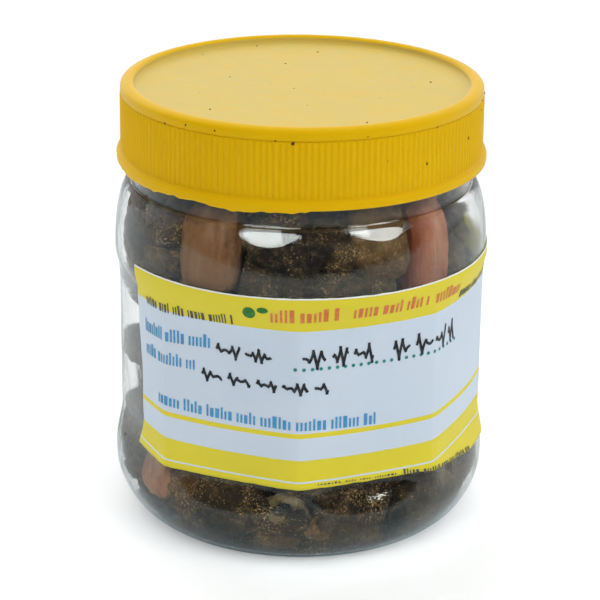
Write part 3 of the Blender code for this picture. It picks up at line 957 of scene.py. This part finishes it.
def wall_piece(name, material, front, height, wide, tall, thick, boxy, rough, lean, key):
    """One larger piece pressed to the wall, shaped in the wall's own bend."""
    sides, bands = 72, 48
    height, wide, tall, thick = height * MM, wide * MM, tall * MM, thick * MM
    verts = []
    offset = Vector((key, key * 2.0, key * 3.0))

    def power(value):
        return math.copysign(abs(value) ** boxy, value)

    for j in range(bands + 1):
        polar = math.pi * j / bands
        for i in range(sides):
            around = FULL_TURN * i / sides
            x = power(math.sin(polar)) * power(math.cos(around))
            y = power(math.sin(polar)) * power(math.sin(around))
            v = power(math.cos(polar))
            p = Vector((x, y, v))
            uneven = noise.noise(p * 1.7 + offset) * 1.4 + 0.7 * noise.noise(p * 4.3 + offset)
            grow = 1.0 + rough * (uneven + 0.3 * noise.noise(p * 11.0 + offset))
            fibre = 1.0 + 0.05 * noise.noise(Vector((x * 9.0, y * 9.0, v * 0.8)) + offset)
            side = x * wide / 2.0 * grow * fibre
            rise = v * tall / 2.0 * grow
            deep = y * thick / 2.0 * grow * fibre
            across = side * math.cos(lean) - rise * math.sin(lean)
            z = height + (side * math.sin(lean) + rise * math.cos(lean))
            angle = front_angle(front) + across / BEND_RADIUS
            free = WALL_PIECE_GAP + thick / 2.0 + abs(rough * thick)
            verts.append(spot(soft_wall(z - FLOOR_SLACK, angle) - WALL - free + deep, angle, z))
    made = make_object(name, verts, grid_faces(bands + 1, sides, True), material)
    weld = made.modifiers.new("weld", "WELD")
    weld.merge_threshold = 0.02 * MM
    return made


def bark_skin(name, dark, mid, pale, stretch, shade=None):
    """Fibrous skin; a shade darkens the piece up to a place along x."""
    t = Tree(name)
    fibre = t.noise(t.place((1, 1, stretch)), 420.0, 5.0, 0.65, 0.3)
    at = t.place()
    broad = t.noise(at, 130.0, 4.0, 0.6)
    fine = t.noise(at, 1100.0, 4.0, 0.7)
    colour = t.mix(t.ramp(broad, 0.38, 0.62, ease=True), dark, mid)
    colour = t.mix(t.ramp(fibre, 0.45, 0.68, high=grey(0.8)), colour, pale)
    pits = t.ramp(fine, 0.55, 0.75, high=grey(0.45))
    colour = t.mix(pits, colour, tuple(c * 0.4 for c in dark))
    if shade:
        tint, start, width = shade
        side = t.plus(t.axes(t.spot())[0], t.times(t.minus(broad, 0.5), width))
        share = t.math("DIVIDE", t.minus(side, start), width, True)
        colour = t.mix(share, tint, colour)
    height = t.plus(t.times(fibre, 1.2), t.times(fine, 0.5))
    return t.finish(t.principled(colour, 0.6, Normal=t.bump(height, 0.7, 0.0008), Specular_IOR_Level=0.05))


def ring_piece(name, material, front, height, radius, tube):
    """A small bent ring of husk that lies flat against the wall."""
    sides, bands = 40, 12
    height, radius, tube = height * MM, radius * MM, tube * MM
    verts = []
    for j in range(sides):
        around = FULL_TURN * j / sides
        for i in range(bands):
            turn = FULL_TURN * i / bands
            p = Vector((math.cos(around) * 3.0, math.sin(around) * 3.0, math.cos(turn)))
            fat = tube * (1.0 + 0.35 * noise.noise(p + Vector((7.0, 3.0, 1.0))))
            out = radius * (1.0 + 0.12 * noise.noise(p * 0.6)) + fat * math.cos(turn)
            across, up = out * math.cos(around) * 1.15, out * math.sin(around) * 0.85
            z = height + up
            angle = front_angle(front) + across / BEND_RADIUS
            inset = WALL + RING_GAP + tube * 1.4 - fat * math.sin(turn)
            verts.append(spot(soft_wall(z, angle) - inset, angle, z))
    return make_object(name, verts, grid_faces(sides, bands, True, True), material)


# Name, skin and degrees from the front, then in millimetres height, width, tallness and thickness, or
# for the ring height, radius and tube; then squareness, roughness, lean and the key of the unevenness
WALL_PIECES = (
    (wall_piece, "bark_left", "brown", -31.0, 59.5, 12.4, 15.5, 5.0, 0.5, 0.07, 0.05, 3.0),
    (wall_piece, "bark_right", "red", 45.0, 59.0, 10.4, 17.5, 5.0, 0.42, 0.05, -0.06, 5.0),
    (wall_piece, "peel_left", "orange", -55.0, 13.0, 9.4, 12.5, 4.0, 0.85, 0.10, 0.35, 8.0),
    (ring_piece, "husk_ring", "tan", -3.9, 12.0, 2.5, 1.0),
    (wall_piece, "crumb_orange", "orange", -27.0, 14.6, 3.4, 2.6, 1.8, 0.9, 0.12, 0.3, 17.0),
    (wall_piece, "peel_right", "brown", 150.0, 40.0, 9.0, 13.0, 4.0, 0.6, 0.10, -0.3, 11.0),
    (wall_piece, "peel_back", "orange", 205.0, 24.0, 8.0, 11.0, 4.0, 0.7, 0.10, 0.4, 14.0),
)
# Dark, middle and pale colour of each skin, and its stretch along z
SKINS = {
    "brown": ("bark_brown", (0.028, 0.010, 0.004), (0.070, 0.031, 0.012), (0.10, 0.060, 0.030), 0.12),
    "red": ("bark_red", (0.080, 0.018, 0.006), (0.110, 0.041, 0.020), (0.145, 0.083, 0.054), 0.10),
    "orange": ("bark_orange", (0.06, 0.020, 0.008), (0.13, 0.055, 0.024), (0.19, 0.10, 0.050), 0.3),
    "tan": ("husk_tan", (0.020, 0.013, 0.006), (0.045, 0.032, 0.015), (0.09, 0.066, 0.033), 0.6),
}
# The red piece is darker up to a place along x: colour, place and width in metres
SHADES = {"red": ((0.050, 0.012, 0.004), 0.0200, 0.0022)}


def build_wall_pieces():
    skins = {key: bark_skin(*values, SHADES.get(key)) for key, values in SKINS.items()}
    return [make(name, skins[skin], *values) for make, name, skin, *values in WALL_PIECES]


def build_core():
    """Dark filling behind the pieces, down to the crumbs in the heel, so no gap shows through the heap; it is
    coloured darker than the nuts, as painted shade deep in the heap.
    """
    steps = 180
    profile = [(6.0, 4.1), (12.0, 3.9), (16.0, 3.3), (19.5, 2.2), (21.8, 1.2), (24.5, 1.0)]
    for z in (1.1, 1.7, 2.4, 3.2, 4.2, 5.4, 6.8, 8.4):
        profile.append((soft_wall((z - 0.6) * MM, 0.3) / MM - 1.5, z))
    profile += [(30.0, 10.5), (28.0, 12.5), (27.0, 15.0)]
    profile += [(26.6, 15.0 + 3.0 * k) for k in range(1, 16)]
    profile += [(25.0, 62.0), (21.2, 64.5), (12.0, 65.2)]

    def uneven(radius, angle, z):
        p = spot(radius, angle, z)
        r = radius - 0.5 + 0.9 * noise.noise(p * 0.45) + 0.5 * noise.noise(p * 1.3)
        return spot(r * MM, angle, (z + 0.25 * noise.noise(p * 0.9)) * MM)

    rings = [ring(steps, lambda angle: uneven(radius, angle, z)) for radius, z in profile]
    # painted shade: the filling's colours are darker than the nuts' own, for the heap's deep gaps
    skin = nut_skin("dried_nut_core_painted_shade", (0.003, 0.0027, 0.0024), (0.007, 0.005, 0.004), (0.03, 0.020, 0.011))
    return turned("nuts_core", rings, skin, Vector((0, 0, 4.15 * MM)), Vector((0, 0, 65.5 * MM)))


# Build and dress
jar = build_jar()
lid = build_lid()
dirt = build_lid_dirt()
label = build_label()
prints = build_print()
nuts = build_nuts()
nuts.append(build_core())
nuts += build_wall_pieces()

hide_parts("jar")
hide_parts("lid")
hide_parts("label")
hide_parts("nuts")
slots = [(jar, "clear_plastic"), (lid, "yellow_plastic"), (label, "label_paper"), (dirt, "yellow_plastic")]
slots += [(piece, "dried_nut") for piece in nuts] + [(piece, "label_paper") for piece in prints]
for piece, slot in slots:
    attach(piece, "root")

# Floor
BACKDROP, BACKDROP_GLOW = (0.97, 0.985, 1.0), 1.05
FLOOR_CORNERS = [(-3, -0.42, 0), (3, -0.42, 0), (3, 4, 0), (-3, 4, 0)]
NEAR_REACH, FAR_SLOPE = 0.045, 5.0
AHEAD_SLOPE = -30.0


def build_floor():
    floor = make_object("floor", FLOOR_CORNERS, [(0, 1, 2, 3)], None, False)
    t = Tree("floor")
    tone = t.mix(t.noise(t.place(), 120.0), (0.84, 0.85, 0.86), (0.87, 0.88, 0.89))
    glow = {"Emission_Color": WHITE, "Emission_Strength": 0.15}
    sheet = t.principled(tone, 0.8, Specular_IOR_Level=0.0, **glow)
    path = t.add("ShaderNodeLightPath").outputs
    # far from the jar the sheet is as white as the backdrop
    at = t.spot()
    reach = t.add("ShaderNodeVectorMath", operation="LENGTH", Vector=at).outputs["Value"]
    far = t.times(t.minus(reach, NEAR_REACH), FAR_SLOPE, True)
    backdrop = t.add("ShaderNodeEmission", Color=BACKDROP, Strength=BACKDROP_GLOW).outputs[0]
    seen = t.blend(t.times(far, path["Is Camera Ray"]), sheet, backdrop)
    # the floor is weaker where it is mirrored in the plastic, most of all in front of the jar
    ahead = t.times(t.axes(at)[1], AHEAD_SLOPE, True)
    mirrored = t.add("ShaderNodeBsdfDiffuse", Color=t.mix(ahead, (0.62, 0.66, 0.67), (0.43, 0.52, 0.56)))
    is_mirrored = t.math("GREATER_THAN", path["Glossy Depth"], 0.5)
    floor.data.materials.append(t.finish(t.blend(is_mirrored, seen, mirrored.outputs[0])))


def build_world():
    """White for the camera and straight through the plastic, otherwise bright behind and low down only."""
    world = bpy.data.worlds.new("studio")
    t = Tree("studio", world)
    _, y, z = t.axes(t.add("ShaderNodeTexCoord").outputs["Generated"])
    behind = t.times(t.plus(y, 0.25), 2.4, True)
    low = t.times(t.minus(0.75, z), 2.5, True)
    strength = t.plus(t.times(behind, low), 0.04)
    path = t.add("ShaderNodeLightPath").outputs
    straight = t.math("LESS_THAN", t.plus(path["Diffuse Depth"], path["Glossy Depth"]), 0.5)
    through = t.times(path["Is Transmission Ray"], straight)
    plain = t.plus(path["Is Camera Ray"], through, True)
    missing = t.minus(BACKDROP_GLOW, strength)
    seen = t.plus(t.times(plain, missing), strength)
    sky = t.add("ShaderNodeBackground", Color=BACKDROP, Strength=seen).outputs[0]
    bpy.context.scene.world = t.finish(sky, "ShaderNodeOutputWorld")


# Lamps: name, azimuth, elevation, distance, width, height, power, and whether it is only a gleam on the jar
LAMPS = (
    ("softbox_left", -16.0, 38.0, 1.2, 0.8, 0.8, 4.4, False),
    ("softbox_right", 56.0, 36.0, 1.2, 0.8, 0.8, 4.8, False),
    ("softbox_above", 180.0, 75.0, 1.5, 2.6, 2.6, 25.5, False),
    ("gleam_left", -21.0, 36.0, 1.2, 0.72, 1.02, 34.0, True),
    ("gleam_right", 54.5, 36.0, 1.2, 0.62, 1.00, 34.0, True),
    ("softbox_back", 200.0, 24.0, 1.6, 1.4, 1.4, 13.0, False),
)
LAMP_AIM = Vector((0, 0, 0.05))


def build_lamp(name, azimuth, elevation, distance, width, height, power, gleam):
    lamp = bpy.data.lights.new(name, "AREA")
    lamp.shape = "ELLIPSE" if gleam else "RECTANGLE"
    lamp.size = width
    lamp.size_y = height
    lamp.energy = power
    lamp.color = (0.94, 1.0, 0.985) if gleam else (1.0, 0.995, 0.985)
    holder = new_object(name, lamp)
    a, e = math.radians(azimuth), math.radians(elevation)
    away = Vector((math.sin(a) * math.cos(e), -math.cos(a) * math.cos(e), math.sin(e)))
    holder.location = LAMP_AIM + away * distance
    holder.rotation_euler = away.to_track_quat("Z", "Y").to_euler()
    holder.visible_camera = False
    holder.visible_glossy = gleam
    holder.visible_diffuse = not gleam
    if gleam:
        # the gleams are mirrored by the jar alone
        group = bpy.data.collections.new(name)
        group.objects.link(jar)
        holder.light_linking.receiver_collection = group


# Camera, fitted to the outline in the photograph
CAMERA_DISTANCE = 0.45
CAMERA_ELEVATION = math.radians(20.65)
CAMERA_ROLL = math.radians(0.6)
CAMERA_AIM = Vector((0.0, 0.0, 0.04))
SENSOR = 36.0
FOCAL_PIXELS, PHOTO_PIXELS = 2396.3, 600.0


def build_camera():
    back = Vector((0.0, -math.cos(CAMERA_ELEVATION), math.sin(CAMERA_ELEVATION)))
    right = Vector((1.0, 0.0, 0.0))
    up = back.cross(right)
    turned_right = right * math.cos(CAMERA_ROLL) + up * math.sin(CAMERA_ROLL)
    turned_up = up * math.cos(CAMERA_ROLL) - right * math.sin(CAMERA_ROLL)
    lens = bpy.data.cameras.new("camera")
    lens.sensor_width = SENSOR
    lens.lens = SENSOR * FOCAL_PIXELS / PHOTO_PIXELS
    lens.clip_start = 0.01
    camera = new_object("camera", lens)
    place = Matrix((turned_right, turned_up, back)).transposed().to_4x4()
    place.translation = CAMERA_AIM + back * CAMERA_DISTANCE
    camera.matrix_world = place
    bpy.context.scene.camera = camera


build_floor()
build_world()
for values in LAMPS:
    build_lamp(*values)
build_camera()
bpy.context.scene.view_settings.view_transform = "Standard"
